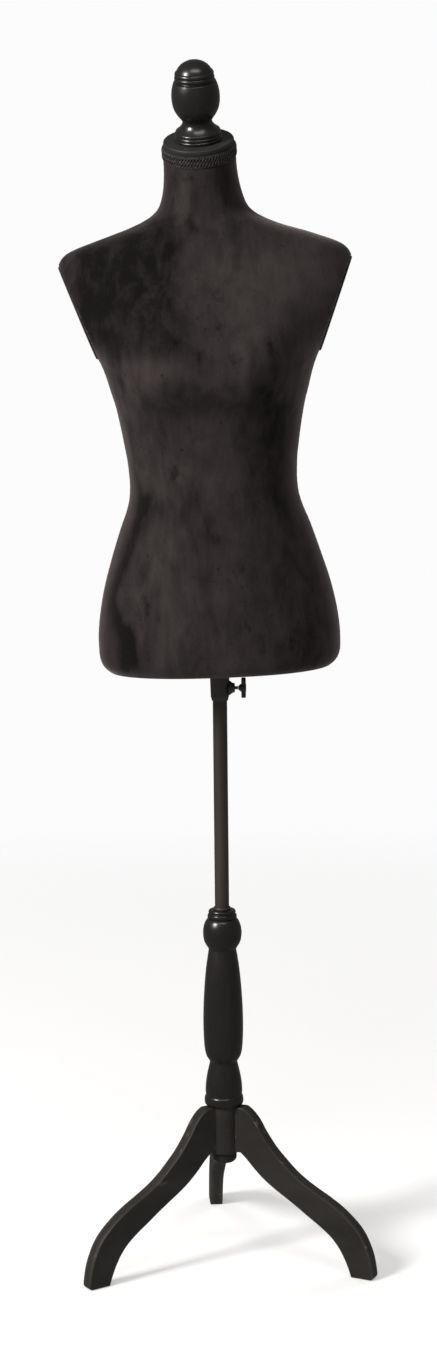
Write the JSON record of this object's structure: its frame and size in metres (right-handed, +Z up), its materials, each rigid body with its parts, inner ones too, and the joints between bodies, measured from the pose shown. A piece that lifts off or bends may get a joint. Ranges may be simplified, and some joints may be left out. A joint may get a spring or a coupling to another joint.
{
  "type": "dress form mannequin",
  "caption": "Velvet-covered female torso form with turned finial on a telescoping pole, turned wooden column and splayed wooden legs; torso turns, slides and is locked by a side screw.",
  "frame": {"origin": "centre of the bounding box's plan view, on the floor under the feet", "axes": "+Z up along the pole, the bust faces -Y, +X to the right of someone facing the bust"},
  "size_m": [0.405, 0.3519, 1.5922],
  "materials": {
    "leg_paint": "satin black paint on wood, worn pale at a few edges",
    "gloss_lacquer": "high-gloss black lacquer on turned wood",
    "cap_paint": "satin black paint on a turned wooden disc",
    "raw_board": "unfinished board",
    "board_paint": "dull black paint on board",
    "velvet": "black short-pile velvet",
    "braid": "black looped gimp braid",
    "moulded_shell": "moulded hard shell, unpainted",
    "black_plastic": "moulded black plastic, slight sheen",
    "pole_steel": "satin dark brown-grey coating on steel tube",
    "zinc_steel": "zinc-plated steel",
    "brass": "turned brass"
  },
  "bodies": {
    "stand": {"leg_rear": "leg_paint", "leg_left": "leg_paint", "leg_right": "leg_paint", "hub_post": "leg_paint", "hub_washer": "pole_steel", "hub_knob": "leg_paint", "tie_rod": "zinc_steel", "column": "gloss_lacquer", "column_insert": "brass", "column_bush": "black_plastic"},
    "pole": {"pole": "pole_steel", "pole_plug": "black_plastic"},
    "torso": {"shell_front": "moulded_shell", "shell_back": "moulded_shell", "velvet_front": "velvet", "velvet_back": "velvet", "arm_board_left": "raw_board", "arm_board_right": "raw_board", "arm_cover_left": "velvet", "arm_cover_right": "velvet", "base_board": "board_paint", "neck_block": "raw_board", "neck_cap": "cap_paint", "cap_screw_left": "zinc_steel", "cap_screw_right": "zinc_steel", "neck_braid": "braid", "finial_bolt": "zinc_steel", "finial": "gloss_lacquer", "clamp_collar": "black_plastic", "clamp_insert": "brass", "flange_screw_1": "zinc_steel", "flange_screw_2": "zinc_steel", "flange_screw_3": "zinc_steel", "flange_screw_4": "zinc_steel"},
    "screw_travel": {"wing_screw_shank": "zinc_steel"},
    "screw_head": {"wing_screw_head": "black_plastic"}
  },
  "joints": [
    {"name": "torso_turn", "type": "hinge", "parent": "stand", "child": "pole", "pos_m": [0, -0.045, 0.44], "axis": [0, 0, 1], "continuous": true},
    {"name": "torso_height", "type": "slide", "parent": "pole", "child": "torso", "axis": [0, 0, 1], "range_m": [-0.27, 0.09]},
    {"name": "wing_screw_travel", "type": "slide", "parent": "torso", "child": "screw_travel", "axis": [1, 0, 0], "range_m": [0, 0.00161]},
    {"name": "wing_screw_turn", "type": "hinge", "parent": "screw_travel", "child": "screw_head", "pos_m": [0.03, -0.045, 0.7835], "axis": [1, 0, 0], "range_deg": [0, 720]}
  ],
  "couplings": [
    {"joint": "wing_screw_travel", "follows": "wing_screw_turn", "m_per_rad": 0.00012732}
  ]
}
